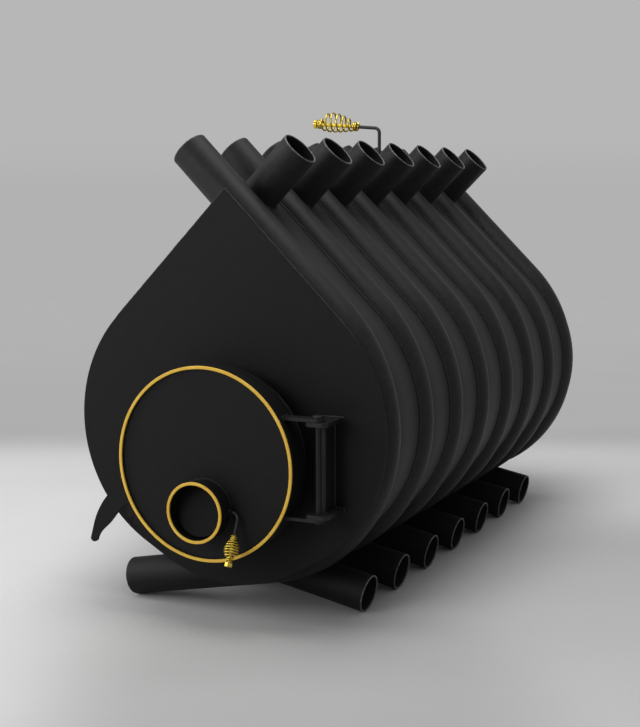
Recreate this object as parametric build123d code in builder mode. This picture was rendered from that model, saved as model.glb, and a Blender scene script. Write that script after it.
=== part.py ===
from build123d import *
import math
import os

# A convection wood stove: a drop-shaped firebox whose side walls are a bank of bent
# air tubes, with a round hinged door, an air inlet and a flue damper.
# Millimetres. +Z is up, the door looks along -Y, and the origin is on the floor
# under the middle of the whole length.

# Tube bank
tube_r = 38.0
tube_wall = 3.0
left_count = 7
tube_pitch = 171.6
bend_x = 304.3
upper_bend_r = 311.8
lower_bend_r = 277.8
roof_slope = 45.0
top_end_z = 904.9
tail_slope = 11.2
tail_reach = 243.9

# Drop-shaped end plates and the strips between the tubes
plate_t = 4.0
plate_side = 30.0
plate_roof = 14.5
plate_lower_r = 284.1
foot_slope = 30.0
plate_bottom_r = 289.6
strip_t = 3.0
strip_set_back = 7.0

# Gaps: pieces welded together lie a hair apart, moving pieces clear each other
weld_gap = 0.2
running_gap = 0.05
moving_gap = 0.4

# Flue duct, spigot and damper
duct_r = 90.0
duct_wall = 3.0
duct_z = 620.0
duct_length = 592.0
spigot_length = 100.0
flue_rod_r = 4.0
flue_rod_x = -12.0
rod_gap_count = 5
flue_disc_t = 2.0
flue_disc_gap = 1.2
flue_handle_above = 67.1
flue_handle_rise = 4.7
flue_handle_bend = 12.0
flue_grip_start = 54.0
guide_length = 18.0
guide_below = 40.0
guide_above = 9.0

# Baffle over the fire
baffle_z = 500.0
baffle_t = 4.0
baffle_front = 250.0

# Door opening and door
door_z = 316.7
band_r = 187.4
band_wall = 6.0
band_to_neck = 13.4
neck_wall = 5.0
neck_depth = 68.0
band_front = 94.0
band_back = 38.0
trim_t = 3.0
trim_edge = 1.0
trim_width = 6.0
panel_recess = 6.0
panel_t = 6.0
seal_width = 11.0
seal_overhang = 0.3
seal_edge = 4.0
channel_t = 2.5
channel_depth = 8.0
neck_to_shield = 15.0
shield_t = 3.0
shield_standoff = 47.5
shield_post_r = 7.0
shield_post_ring = 112.0

# Air inlet through the door
inlet_r = 57.15
inlet_wall = 4.0
inlet_margin = 15.45
inlet_front = 130.0
inlet_trim_t = 3.0
inlet_trim_proud = 1.6
inlet_trim_edge = 0.8
inlet_tail = 10.0
inlet_disc_depth = 30.0
inlet_disc_t = 2.0
inlet_disc_gap = 1.2
inlet_rod_r = 3.0
inlet_boss_r = 6.5
inlet_boss_length = 6.0
inlet_rod_reach = 77.0
inlet_rod_tail = 5.0
inlet_handle_tilt = 25.0
inlet_shut_tilt = 10.0
inlet_handle_bend = 14.0
inlet_grip_start = 41.0

# Coil grips: wire, tight turns at both ends, open turns between them
flue_grip_length = 109.0
flue_grip_fit = 2.4
flue_grip_wire_r = 2.2
flue_grip_max_r = 22.0
flue_grip_open_count = 6
flue_grip_rise = 6.8
flue_grip_lean = 1.7
flue_grip_fullness = 0.45
flue_knob_extra = 6.5
inlet_grip_length = 52.0
inlet_grip_fit = 0.5
inlet_grip_wire_r = 1.5
inlet_grip_max_r = 13.3
inlet_grip_open_count = 7
inlet_grip_rise = 0.0
inlet_grip_lean = 1.2
inlet_grip_fullness = 0.6
inlet_knob_extra = 4.5
grip_tight_count = 2
grip_turn_gap = 0.6
knob_length = 7.5

# Hinge on the right of the door
hinge_beside = 38.6
hinge_y = 63.0
hinge_pin_r = 5.0
hinge_head_r = 10.0
hinge_head_h = 5.5
hinge_head_edge = 2.0
ear_half_width = 23.0
ear_t = 8.0
ear_nose = 14.0
upper_ear_z = 402.5
lower_ear_z = 230.7
arm_t = 6.0
arm_width = 24.0
web_t = 9.0
web_depth = 40.0
pin_tail = 4.0

# Latch on the left of the door
latch_angle = 204.0
latch_beside = 15.6
lug_t = 8.0
lug_front = 65.0
lug_half_width = 12.0
lever_t = 6.0
lever_hub_r = 13.0
latch_bolt_r = 4.0
latch_head_r = 7.5
latch_head_h = 5.0
hook_length = 40.0
hook_half_width = 8.0
hook_angle = 262.0
latch_turn = 32.0
keeper_t = 7.0
keeper_width = 20.0
keeper_lip = 20.0
keeper_slack = 1.5


# Sizes that follow from the ones above
def sine(angle):
    return math.sin(math.radians(angle))


def cosine(angle):
    return math.cos(math.radians(angle))


right_count = left_count + 1
lower_centre_x = bend_x - lower_bend_r
upper_centre_x = bend_x - upper_bend_r
tail_x = lower_centre_x + lower_bend_r * sine(tail_slope)
tail_drop = (tail_x + tail_reach) * math.tan(math.radians(tail_slope))
tail_end_z = tube_r * cosine(tail_slope)
bend_z = tail_end_z + tail_drop + lower_bend_r * cosine(tail_slope)
roof_line = upper_centre_x * sine(roof_slope) + bend_z * cosine(roof_slope) + upper_bend_r

plate_half = bend_x + plate_side
plate_line = roof_line + plate_roof
foot_line = (plate_half - plate_lower_r) * sine(foot_slope) - bend_z * cosine(foot_slope) + plate_lower_r
bottom_centre_z = (plate_bottom_r - foot_line) / cosine(foot_slope)

ridge_z = plate_line / cosine(roof_slope)
guide_bottom_z = ridge_z - guide_below
guide_top_z = ridge_z + guide_above
flue_handle_z = top_end_z + flue_handle_above

neck_r = band_r - band_wall - band_to_neck
shield_r = neck_r - neck_wall - neck_to_shield
seal_r = neck_r - neck_wall / 2
channel_inner = seal_r - seal_width / 2 - weld_gap - channel_t
channel_outer = seal_r + seal_width / 2 + weld_gap + channel_t
inlet_z = door_z - channel_inner + inlet_margin + inlet_r
hinge_x = band_r + hinge_beside
latch_radius = band_r + latch_beside

inlet_knob_r = inlet_rod_r + inlet_knob_extra
inlet_knob_end = inlet_grip_start + inlet_grip_length + knob_length + moving_gap
inlet_axis_y = inlet_front - inlet_disc_depth - inlet_disc_t - inlet_rod_r
inlet_knob_reach = inlet_knob_end * sine(inlet_handle_tilt) + inlet_knob_r * cosine(inlet_handle_tilt)
front_reach = inlet_axis_y + inlet_knob_reach
first_tube = plate_t + weld_gap + tube_r
bank_end = first_tube + left_count * tube_pitch + tube_r + weld_gap
rear_reach = bank_end + plate_t + weld_gap + spigot_length
face_y = (front_reach - rear_reach) / 2


def depth(distance):
    """Upright plane that faces the front, this far behind the front plate's face."""
    return Plane.XZ.offset(-(face_y + distance))


def tube_axis(side):
    """Centre line of one bent tube, from its upper mouth to its lower mouth."""
    bend_top_x = upper_centre_x + upper_bend_r * sine(roof_slope)
    bend_top_z = bend_z + upper_bend_r * cosine(roof_slope)
    top_x = bend_top_x - (top_end_z - bend_top_z) / math.tan(math.radians(roof_slope))
    half = (90 - roof_slope) / 2
    middle = (upper_centre_x + upper_bend_r * cosine(half), bend_z + upper_bend_r * sine(half))
    low = (90 - tail_slope) / 2
    low_middle = (lower_centre_x + lower_bend_r * cosine(low), bend_z - lower_bend_r * sine(low))
    tail_z = bend_z - lower_bend_r * cosine(tail_slope)
    Line((side * top_x, top_end_z), (side * bend_top_x, bend_top_z))
    ThreePointArc((side * bend_top_x, bend_top_z), (side * middle[0], middle[1]), (side * bend_x, bend_z))
    ThreePointArc((side * bend_x, bend_z), (side * low_middle[0], low_middle[1]), (side * tail_x, tail_z))
    Line((side * tail_x, tail_z), (-side * tail_reach, tail_end_z))


def tube_space(side, distance):
    """The room that one tube takes, with the welding gap round it."""
    with BuildPart() as space:
        with BuildLine(depth(distance)) as axis:
            tube_axis(side)
        with BuildSketch(Plane(origin=axis.line @ 0, z_dir=axis.line % 0)):
            Circle(tube_r + weld_gap)
        sweep()
    return space.part


def shoulder_radius(half):
    """Radius of the arc between the roof line and a side that lies this far out."""
    rise = plate_line - half * sine(roof_slope) - bend_z * cosine(roof_slope)
    return rise / (1 - sine(roof_slope))


def half_outline(side, inset, set_back=0):
    """Half of the drop shape, from the ridge down to the foot, moved in by inset.

    The set-back moves the side and the foot in further, and leaves the roof line.
    """
    half = plate_half - set_back
    upper_x = half - shoulder_radius(half)
    lower_x = plate_half - plate_lower_r
    upper_r = half - upper_x - inset
    lower_r = half - lower_x - inset
    bottom_r = plate_bottom_r - set_back - inset
    ridge = (0, (plate_line - inset) / cosine(roof_slope))
    shoulder = (side * (upper_x + upper_r * sine(roof_slope)), bend_z + upper_r * cosine(roof_slope))
    widest = (side * (half - inset), bend_z)
    hip = (side * (lower_x + lower_r * sine(foot_slope)), bend_z - lower_r * cosine(foot_slope))
    heel = (side * bottom_r * sine(foot_slope), bottom_centre_z - bottom_r * cosine(foot_slope))
    foot = (0, bottom_centre_z - bottom_r)
    high = (90 - roof_slope) / 2
    low = (90 - foot_slope) / 2
    Line(ridge, shoulder)
    cheek = (side * (upper_x + upper_r * cosine(high)), bend_z + upper_r * sine(high))
    ThreePointArc(shoulder, cheek, widest)
    ThreePointArc(widest, (side * (lower_x + lower_r * cosine(low)), bend_z - lower_r * sine(low)), hip)
    Line(hip, heel)
    sole = foot_slope / 2
    ThreePointArc(heel, (side * bottom_r * sine(sole), bottom_centre_z - bottom_r * cosine(sole)), foot)


pieces = {}

# Bent air tubes: eight bow out to the right, seven between them bow out to the left
right_tubes = [first_tube + tube_pitch * k for k in range(right_count)]
left_tubes = [first_tube + tube_pitch * (k + 0.5) for k in range(left_count)]

for side, word, row in ((1, "right", right_tubes), (-1, "left", left_tubes)):
    for number, distance in enumerate(row, 1):
        with BuildPart() as tube:
            with BuildLine(depth(distance)) as axis:
                tube_axis(side)
            with BuildSketch(Plane(origin=axis.line @ 0, z_dir=axis.line % 0)):
                Circle(tube_r)
                Circle(tube_r - tube_wall, mode=Mode.SUBTRACT)
            sweep()
        pieces[f"tube_{word}_{number}"] = tube.part

# Wall strips: each closes the space between two tubes of its side, and is notched
# where the tube of the other side crosses it at the ridge and at the foot
rod_distance = first_tube + tube_pitch * (rod_gap_count - 0.75)
guide_half = tube_pitch / 4 - tube_r - weld_gap


def wall_strip(side, start, end, crossings):
    """Sheet between two depths, a little inside the plates' outline, cut back round the tubes."""
    rooms = [tube_space(which, distance) for which, distance in crossings]
    with BuildPart() as strip:
        with BuildSketch(depth(start)):
            with BuildLine():
                half_outline(side, 0, strip_set_back)
                half_outline(side, strip_t, strip_set_back)
                Line((0, ridge_z), (0, ridge_z - strip_t / cosine(roof_slope)))
                foot_z = bottom_centre_z - plate_bottom_r + strip_set_back
                Line((0, foot_z), (0, foot_z + strip_t))
            make_face()
        extrude(amount=start - end)
        for room in rooms:
            add(room, mode=Mode.SUBTRACT)
        if side < 0 and start < rod_distance < end:
            with BuildSketch(Plane.XY.offset(guide_bottom_z)):
                with Locations((flue_rod_x / 2, face_y + rod_distance)):
                    Rectangle(guide_length - flue_rod_x + 2 * weld_gap, tube_pitch / 8)
            extrude(amount=top_end_z - guide_bottom_z, mode=Mode.SUBTRACT)
    return strip.part.solids().sort_by(SortBy.VOLUME)[-1]


for number in range(1, right_count):
    near = right_tubes[number - 1]
    far = right_tubes[number]
    crossings = ((1, near), (1, far), (-1, left_tubes[number - 1]))
    pieces[f"strip_right_{number}"] = wall_strip(1, near, far, crossings)

shell_front = plate_t + weld_gap
shell_rear = bank_end - weld_gap
for number in range(1, left_count + 2):
    near = left_tubes[number - 2] if number > 1 else shell_front
    far = left_tubes[number - 1] if number <= left_count else shell_rear
    crossings = [(1, right_tubes[number - 1])]
    crossings += [(-1, near)] if number > 1 else []
    crossings += [(-1, far)] if number <= left_count else []
    pieces[f"strip_left_{number}"] = wall_strip(-1, near, far, crossings)

# End plates: the front one is open for the door, the rear one for the flue
with BuildPart() as front_plate:
    with BuildSketch(depth(plate_t)):
        with BuildLine():
            half_outline(1, 0)
            half_outline(-1, 0)
        make_face()
        with Locations((0, door_z)):
            Circle(neck_r - neck_wall, mode=Mode.SUBTRACT)
    extrude(amount=plate_t)
pieces["front_plate"] = front_plate.part

with BuildPart() as rear_plate:
    with BuildSketch(depth(bank_end + plate_t)):
        with BuildLine():
            half_outline(1, 0)
            half_outline(-1, 0)
        make_face()
        with Locations((0, duct_z)):
            Circle(duct_r - duct_wall, mode=Mode.SUBTRACT)
    extrude(amount=plate_t)
pieces["rear_plate"] = rear_plate.part

# Baffle: a flat plate over the fire, held between the two rows of tubes
baffle_top = baffle_z + baffle_t
inner_bend = upper_bend_r - tube_r - weld_gap
baffle_half = upper_centre_x + math.sqrt(inner_bend**2 - (baffle_top - bend_z) ** 2)
with BuildPart() as baffle_plate:
    with BuildSketch(Plane.XY.offset(baffle_z)):
        with Locations((0, face_y + (baffle_front + bank_end - weld_gap) / 2)):
            Rectangle(2 * baffle_half, bank_end - weld_gap - baffle_front)
    extrude(amount=baffle_t)
pieces["baffle_plate"] = baffle_plate.part

# Flue: a duct under the ridge, and a spigot behind the rear plate
duct_end = bank_end - weld_gap
with BuildPart() as flue_duct:
    with BuildSketch(depth(duct_end)):
        with Locations((0, duct_z)):
            Circle(duct_r)
            Circle(duct_r - duct_wall, mode=Mode.SUBTRACT)
    extrude(amount=duct_length)
    with BuildSketch(Plane.XY.offset(duct_z - duct_r - plate_t)):
        with Locations((flue_rod_x, face_y + rod_distance)):
            Circle(flue_rod_r + running_gap)
    extrude(amount=2 * duct_r + 2 * plate_t, mode=Mode.SUBTRACT)
pieces["flue_duct"] = flue_duct.part

with BuildPart() as flue_spigot:
    with BuildSketch(depth(rear_reach)):
        with Locations((0, duct_z)):
            Circle(duct_r)
            Circle(duct_r - duct_wall, mode=Mode.SUBTRACT)
    extrude(amount=spigot_length)
pieces["flue_spigot"] = flue_spigot.part

# Guide block for the flue damper's rod, set between two tubes at the ridge
with BuildPart() as flue_guide:
    with BuildSketch(Plane.XY.offset(guide_bottom_z)):
        with Locations((flue_rod_x, face_y + rod_distance)):
            Rectangle(guide_length, 2 * guide_half)
            Circle(flue_rod_r + running_gap, mode=Mode.SUBTRACT)
    extrude(amount=guide_top_z - guide_bottom_z)
pieces["flue_guide"] = flue_guide.part

# Flue damper: a disc on an upright rod that bends over into a handle
flue_rod_y = face_y + rod_distance
flue_inner_r = duct_r - duct_wall
flue_disc_r = flue_inner_r - flue_disc_gap
with BuildPart() as flue_damper_disc:
    with BuildSketch(depth(rod_distance - flue_rod_r)):
        with Locations((0, duct_z)):
            Circle(flue_disc_r)
    extrude(amount=flue_disc_t)
pieces["flue_damper_disc"] = flue_damper_disc.part

flue_knob_r = flue_rod_r + flue_knob_extra
flue_knob_start = flue_grip_start + flue_grip_length + moving_gap
flue_lean = (-cosine(flue_handle_rise), 0, sine(flue_handle_rise))
flue_corner = Vector(flue_rod_x, flue_rod_y, flue_handle_z)
flue_knob_at = flue_corner + Vector(flue_lean) * flue_knob_start
with BuildPart() as flue_damper_spindle:
    with BuildLine() as path:
        foot_point = (flue_rod_x, flue_rod_y, duct_z - duct_r - plate_t)
        FilletPolyline(foot_point, flue_corner, flue_knob_at + Vector(flue_lean), radius=flue_handle_bend)
    with BuildSketch(Plane(origin=foot_point, z_dir=(0, 0, 1))):
        Circle(flue_rod_r)
    sweep()
    with BuildSketch(Plane(origin=flue_knob_at, z_dir=flue_lean)):
        Circle(flue_knob_r)
    extrude(amount=knob_length)
pieces["flue_damper_spindle"] = flue_damper_spindle.part


# Coil grips: each is one wire wound round its rod, tight at both ends
def coil_points(length, wire_r, tight_r, widest_r, open_turns, rise, lean, fullness):
    """Centre line of the wire in quarter turns: points and directions, along +Z.

    A lean over 1 puts the widest turns nearer the far end, and a small fullness
    makes the ends blunt.
    """
    tight_step = 2 * wire_r + grip_turn_gap
    open_length = length - 2 * wire_r - 2 * grip_tight_count * tight_step
    turns = 2 * grip_tight_count + open_turns

    def point(turn):
        inner = min(max(turn - grip_tight_count, 0), open_turns)
        along = wire_r + (turn - inner) * tight_step + inner * open_length / open_turns
        swell = max(math.sin(math.pi * (inner / open_turns) ** lean), 0) ** fullness
        radius = tight_r + (widest_r - tight_r) * swell
        angle = 2 * math.pi * turn
        return Vector(radius * math.cos(angle) + rise * swell, radius * math.sin(angle), along)

    steps = [k / 4 for k in range(4 * turns + 1)]
    points = [point(turn) for turn in steps]
    ways = [(point(turn + 0.1) - point(turn - 0.1)).normalized() for turn in steps]
    return points, ways


def arc_middle(start, way, end):
    """Middle of the arc that leaves start in the direction way and reaches end."""
    chord = end - start
    along = chord.normalized()
    turn = math.acos(min(max(way.dot(along), -1), 1))
    bulge = (way - along * way.dot(along)).normalized()
    return start + chord * 0.5 + bulge * (chord.length / 2 * math.tan(turn / 2))


def coil_wire(points, ways):
    """Two arcs that meet smoothly for each quarter turn; also returns points on them."""
    seen = [points[0]]
    for start, end, way, next_way in zip(points, points[1:], ways, ways[1:]):
        chord = end - start
        both = way + next_way
        across = 2 * (1 - way.dot(next_way))
        reach = (math.sqrt(chord.dot(both) ** 2 + across * chord.dot(chord)) - chord.dot(both)) / across
        join = (start + way * reach + end - next_way * reach) * 0.5
        first = arc_middle(start, way, join)
        second = arc_middle(end, next_way * -1, join)
        ThreePointArc(start, first, join)
        ThreePointArc(join, second, end)
        seen += [first, join, second, end]
    return seen


def coil_grip(name, origin, way, up, length, wire_r, tight_r, widest_r, open_turns, *shape):
    """One coil grip round a rod, wound from origin along way; prints its least gap."""
    points, ways = coil_points(length, wire_r, tight_r, widest_r, open_turns, *shape)
    side_way = Vector(way).cross(Vector(up))
    turn = (Vector(up), side_way, Vector(way))
    ways = [turn[0] * v.X + turn[1] * v.Y + turn[2] * v.Z for v in ways]
    points = [Vector(origin) + turn[0] * v.X + turn[1] * v.Y + turn[2] * v.Z for v in points]
    with BuildPart() as grip:
        with BuildLine() as wire:
            seen = coil_wire(points, ways)
        with BuildSketch(Plane(origin=wire.line @ 0, z_dir=wire.line % 0)):
            Circle(wire_r)
        sweep()
    pairs = ((a, b) for k, a in enumerate(seen) for b in seen[k + 8:])
    least = min((a - b).length for a, b in pairs) - 2 * wire_r
    print(name, "turns", 2 * grip_tight_count + open_turns, "least gap", round(least, 2))
    return grip.part


flue_tight_r = flue_rod_r + flue_grip_fit + flue_grip_wire_r
flue_grip_up = Vector(0, 1, 0).cross(Vector(flue_lean))
pieces["flue_damper_grip"] = coil_grip(
    "flue_damper_grip", flue_corner + Vector(flue_lean) * flue_grip_start, flue_lean, flue_grip_up,
    flue_grip_length, flue_grip_wire_r, flue_tight_r, flue_grip_max_r,
    flue_grip_open_count, flue_grip_rise, flue_grip_lean, flue_grip_fullness)

# Door neck: a short ring on the front plate that the door shuts against
with BuildPart() as door_neck:
    with BuildSketch(depth(0)):
        with Locations((0, door_z)):
            Circle(neck_r)
            Circle(neck_r - neck_wall, mode=Mode.SUBTRACT)
    extrude(amount=neck_depth)
pieces["door_neck"] = door_neck.part

# Door: a band with a trim ring on its front edge and a recessed round panel
panel_front = band_front - panel_recess
panel_back = panel_front - panel_t
band_inner = band_r - band_wall
with BuildPart() as door_band:
    with BuildSketch(depth(-band_back)):
        with Locations((0, door_z)):
            Circle(band_r)
            Circle(band_inner, mode=Mode.SUBTRACT)
    extrude(amount=band_front - trim_t - band_back)
pieces["door_band"] = door_band.part

with BuildPart() as door_trim:
    with BuildSketch(depth(trim_t - band_front)):
        with Locations((0, door_z)):
            Circle(band_r)
            Circle(band_r - trim_width, mode=Mode.SUBTRACT)
    extrude(amount=trim_t)
    fillet(door_trim.edges().group_by(Axis.Y)[0], radius=trim_edge)
pieces["door_trim"] = door_trim.part

with BuildPart() as door_panel:
    with BuildSketch(depth(-panel_back)):
        with Locations((0, door_z)):
            Circle(band_inner - weld_gap)
        with Locations((0, inlet_z)):
            Circle(inlet_r + weld_gap, mode=Mode.SUBTRACT)
    extrude(amount=panel_t)
pieces["door_panel"] = door_panel.part

# Rope seal in its channel behind the panel, in line with the neck's edge
with BuildPart() as seal_channel:
    with BuildSketch(depth(-panel_back)):
        with Locations((0, door_z)):
            Circle(channel_outer)
            Circle(channel_inner, mode=Mode.SUBTRACT)
    extrude(amount=-channel_depth)
    with BuildSketch(depth(channel_t - panel_back)):
        with Locations((0, door_z)):
            Circle(channel_outer - channel_t)
            Circle(channel_inner + channel_t, mode=Mode.SUBTRACT)
    extrude(amount=-channel_depth, mode=Mode.SUBTRACT)
pieces["seal_channel"] = seal_channel.part

seal_front = panel_back - channel_t - weld_gap
with BuildPart() as door_seal:
    with BuildSketch(depth(-(neck_depth + seal_overhang))):
        with Locations((0, door_z)):
            Circle(seal_r + seal_width / 2)
            Circle(seal_r - seal_width / 2, mode=Mode.SUBTRACT)
    extrude(amount=seal_front - neck_depth - seal_overhang)
    fillet(door_seal.edges().group_by(Axis.Y)[-1], radius=seal_edge)
pieces["door_seal"] = door_seal.part

# Heat shield behind the panel, on three short posts
with BuildPart() as door_shield:
    with BuildSketch(depth(-panel_back)):
        with Locations((0, door_z)):
            with PolarLocations(shield_post_ring, 3, start_angle=90):
                Circle(shield_post_r)
    extrude(amount=-shield_standoff)
    with BuildSketch(depth(shield_standoff - panel_back)):
        with Locations((0, door_z)):
            Circle(shield_r)
    extrude(amount=-shield_t)
pieces["door_shield"] = door_shield.part

# Air inlet: a short tube through the panel, with bosses for the damper's rod
inlet_tube_front = inlet_front - inlet_trim_t
inlet_axis_plane = Plane(origin=(0, face_y - inlet_axis_y, inlet_z), x_dir=(0, 1, 0), z_dir=(1, 0, 0))
with BuildPart() as inlet_tube:
    with BuildSketch(depth(inlet_tail - panel_back)):
        with Locations((0, inlet_z)):
            Circle(inlet_r)
    extrude(amount=inlet_tube_front - panel_back + inlet_tail)
    with BuildSketch(inlet_axis_plane):
        Circle(inlet_boss_r)
    extrude(amount=inlet_r + inlet_boss_length, both=True)
    with BuildSketch(depth(inlet_tail - panel_back)):
        with Locations((0, inlet_z)):
            Circle(inlet_r - inlet_wall)
    extrude(amount=inlet_tube_front - panel_back + inlet_tail, mode=Mode.SUBTRACT)
    with BuildSketch(inlet_axis_plane):
        Circle(inlet_rod_r + running_gap)
    extrude(amount=inlet_r + 2 * inlet_boss_length, both=True, mode=Mode.SUBTRACT)
pieces["inlet_tube"] = inlet_tube.part

with BuildPart() as inlet_trim:
    with BuildSketch(depth(-inlet_tube_front)):
        with Locations((0, inlet_z)):
            Circle(inlet_r + inlet_trim_proud)
            Circle(inlet_r - inlet_wall, mode=Mode.SUBTRACT)
    extrude(amount=inlet_trim_t)
    fillet(inlet_trim.edges().group_by(Axis.Y)[0], radius=inlet_trim_edge)
pieces["inlet_trim"] = inlet_trim.part

# Inlet damper: the disc turns with its handle, and shuts when the handle hangs on the trim
inlet_way = Vector(0, -sine(inlet_handle_tilt), -cosine(inlet_handle_tilt))
inlet_grip_up = Vector(0, -cosine(inlet_handle_tilt), sine(inlet_handle_tilt))
inlet_lean = inlet_handle_tilt - inlet_shut_tilt
inlet_normal = Vector(0, -cosine(inlet_lean), sine(inlet_lean))
inlet_disc_r = inlet_r - inlet_wall - inlet_disc_gap
inlet_centre = Vector(0, face_y - inlet_axis_y, inlet_z)
with BuildPart() as inlet_disc:
    disc_seat = inlet_centre + inlet_normal * inlet_rod_r
    with BuildSketch(Plane(origin=disc_seat, x_dir=(1, 0, 0), z_dir=inlet_normal)):
        Circle(inlet_disc_r)
    extrude(amount=inlet_disc_t)
pieces["inlet_disc"] = inlet_disc.part

inlet_corner = inlet_centre + Vector(inlet_rod_reach, 0, 0)
inlet_knob_at = inlet_corner + inlet_way * (inlet_knob_end - knob_length)
with BuildPart() as inlet_spindle:
    with BuildLine() as path:
        far_end = inlet_centre - Vector(inlet_r + inlet_boss_length + inlet_rod_tail, 0, 0)
        FilletPolyline(far_end, inlet_corner, inlet_knob_at + inlet_way, radius=inlet_handle_bend)
    with BuildSketch(Plane(origin=far_end, z_dir=(1, 0, 0))):
        Circle(inlet_rod_r)
    sweep()
    with BuildSketch(Plane(origin=inlet_knob_at, z_dir=inlet_way)):
        Circle(inlet_knob_r)
    extrude(amount=knob_length)
pieces["inlet_spindle"] = inlet_spindle.part

inlet_tight_r = inlet_rod_r + inlet_grip_fit + inlet_grip_wire_r
pieces["inlet_grip"] = coil_grip(
    "inlet_grip", inlet_corner + inlet_way * inlet_grip_start, inlet_way, inlet_grip_up,
    inlet_grip_length, inlet_grip_wire_r, inlet_tight_r, inlet_grip_max_r,
    inlet_grip_open_count, inlet_grip_rise, inlet_grip_lean, inlet_grip_fullness)

# Hinge: a bracket with two ears on the front plate, and two arms on the door's band
hinge_distance = -hinge_y
upper_arm_z = upper_ear_z + ear_t + moving_gap
lower_arm_z = lower_ear_z - moving_gap - arm_t
with BuildPart() as hinge_bracket:
    with BuildSketch(Plane.XY.offset(lower_ear_z)):
        with Locations((hinge_x, face_y - web_depth / 2)):
            Rectangle(web_t, web_depth)
    extrude(amount=upper_ear_z + ear_t - lower_ear_z)
    for ear_z in (lower_ear_z, upper_ear_z):
        with BuildSketch(Plane.XY.offset(ear_z)):
            with Locations((hinge_x, face_y - hinge_y / 2)):
                Rectangle(2 * ear_half_width, hinge_y)
            with Locations((hinge_x, face_y - hinge_y)):
                Rectangle(2 * ear_half_width, 2 * ear_nose)
                Circle(hinge_pin_r + running_gap, mode=Mode.SUBTRACT)
        extrude(amount=ear_t)
    ends = hinge_bracket.edges().filter_by(Axis.Z).group_by(Axis.Y)[0]
    fillet(ends, radius=ear_nose * 0.8)
pieces["hinge_bracket"] = hinge_bracket.part

with BuildPart() as hinge_pin:
    with BuildSketch(Plane.XY.offset(lower_arm_z - pin_tail)):
        with Locations((hinge_x, face_y - hinge_y)):
            Circle(hinge_pin_r)
    extrude(amount=upper_arm_z + arm_t + moving_gap - lower_arm_z + pin_tail)
    with BuildSketch(Plane.XY.offset(upper_arm_z + arm_t + moving_gap)):
        with Locations((hinge_x, face_y - hinge_y)):
            Circle(hinge_head_r)
    extrude(amount=hinge_head_h)
    fillet(hinge_pin.edges().group_by(Axis.Z)[-1], radius=hinge_head_edge)
pieces["hinge_pin"] = hinge_pin.part

for word, arm_z in (("upper", upper_arm_z), ("lower", lower_arm_z)):
    with BuildPart() as arm:
        with BuildSketch(Plane.XY.offset(arm_z)):
            with Locations((hinge_x / 2, face_y - hinge_y)):
                Rectangle(hinge_x, arm_width)
            with Locations((hinge_x, face_y - hinge_y)):
                Circle(arm_width / 2)
                Circle(hinge_pin_r + running_gap, mode=Mode.SUBTRACT)
        extrude(amount=arm_t)
        with BuildSketch(depth(0)):
            with Locations((0, door_z)):
                Circle(band_r + weld_gap)
        extrude(amount=2 * band_front, mode=Mode.SUBTRACT)
    pieces[f"door_arm_{word}"] = arm.part

# Latch: a lug on the band, a leaf-shaped lever that turns on its bolt, and a keeper
pivot_x = latch_radius * cosine(latch_angle)
pivot_z = door_z + latch_radius * sine(latch_angle)
lug_back = lug_front - lug_t
lever_front = lug_back - moving_gap
lever_back = lever_front - lever_t
with BuildPart() as latch_lug:
    with BuildSketch(depth(-lug_back)):
        with Locations((pivot_x, pivot_z)):
            Circle(lug_half_width)
        with Locations(Location((0, door_z), latch_angle)):
            with Locations((latch_radius - lug_half_width, 0)):
                Rectangle(2 * lug_half_width, 2 * lug_half_width)
        with Locations((0, door_z)):
            Circle(band_r + weld_gap, mode=Mode.SUBTRACT)
        with Locations((pivot_x, pivot_z)):
            Circle(latch_bolt_r, mode=Mode.SUBTRACT)
    extrude(amount=lug_t)
pieces["latch_lug"] = latch_lug.part

hook_x = pivot_x + hook_length * cosine(hook_angle)
hook_z = pivot_z + hook_length * sine(hook_angle)


def from_pivot(*points):
    """Points of the lever, given from the bolt it turns on."""
    return [(pivot_x + across, pivot_z + up) for across, up in points]


leaf_outer = from_pivot((-24, 18), (-61, -10), (-79, -36), (-89, -58), (-97, -85), (-101, -98))
leaf_tip = from_pivot((-93.5, -105))[0]
leaf_inner = from_pivot((-85, -100), (-79, -87), (-56, -64), (-35, -39), (-6, -16))
with BuildPart() as latch_lever:
    with BuildSketch(depth(-lever_back)):
        with BuildLine():
            Spline(*leaf_outer)
            ThreePointArc(leaf_outer[-1], leaf_tip, leaf_inner[0])
            Spline(*leaf_inner)
            Line(leaf_inner[-1], (pivot_x, pivot_z))
            Line((pivot_x, pivot_z), leaf_outer[0])
        make_face()
        with Locations((pivot_x, pivot_z)):
            Circle(lever_hub_r)
        with Locations(Location(((pivot_x + hook_x) / 2, (pivot_z + hook_z) / 2), hook_angle)):
            SlotCenterToCenter(hook_length, 2 * hook_half_width)
        with Locations((pivot_x, pivot_z)):
            Circle(latch_bolt_r + running_gap, mode=Mode.SUBTRACT)
    extrude(amount=lever_t)
pieces["latch_lever"] = latch_lever.part

with BuildPart() as latch_bolt:
    with BuildSketch(depth(moving_gap - lever_back)):
        with Locations((pivot_x, pivot_z)):
            Circle(latch_bolt_r)
    extrude(amount=lug_front - lever_back + moving_gap)
    with BuildSketch(depth(-lug_front)):
        with Locations((pivot_x, pivot_z)):
            Circle(latch_head_r)
    extrude(amount=latch_head_h)
    with BuildSketch(depth(moving_gap - lever_back)):
        with Locations((pivot_x, pivot_z)):
            Circle(latch_head_r)
    extrude(amount=-latch_head_h)
pieces["latch_bolt"] = latch_bolt.part

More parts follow.
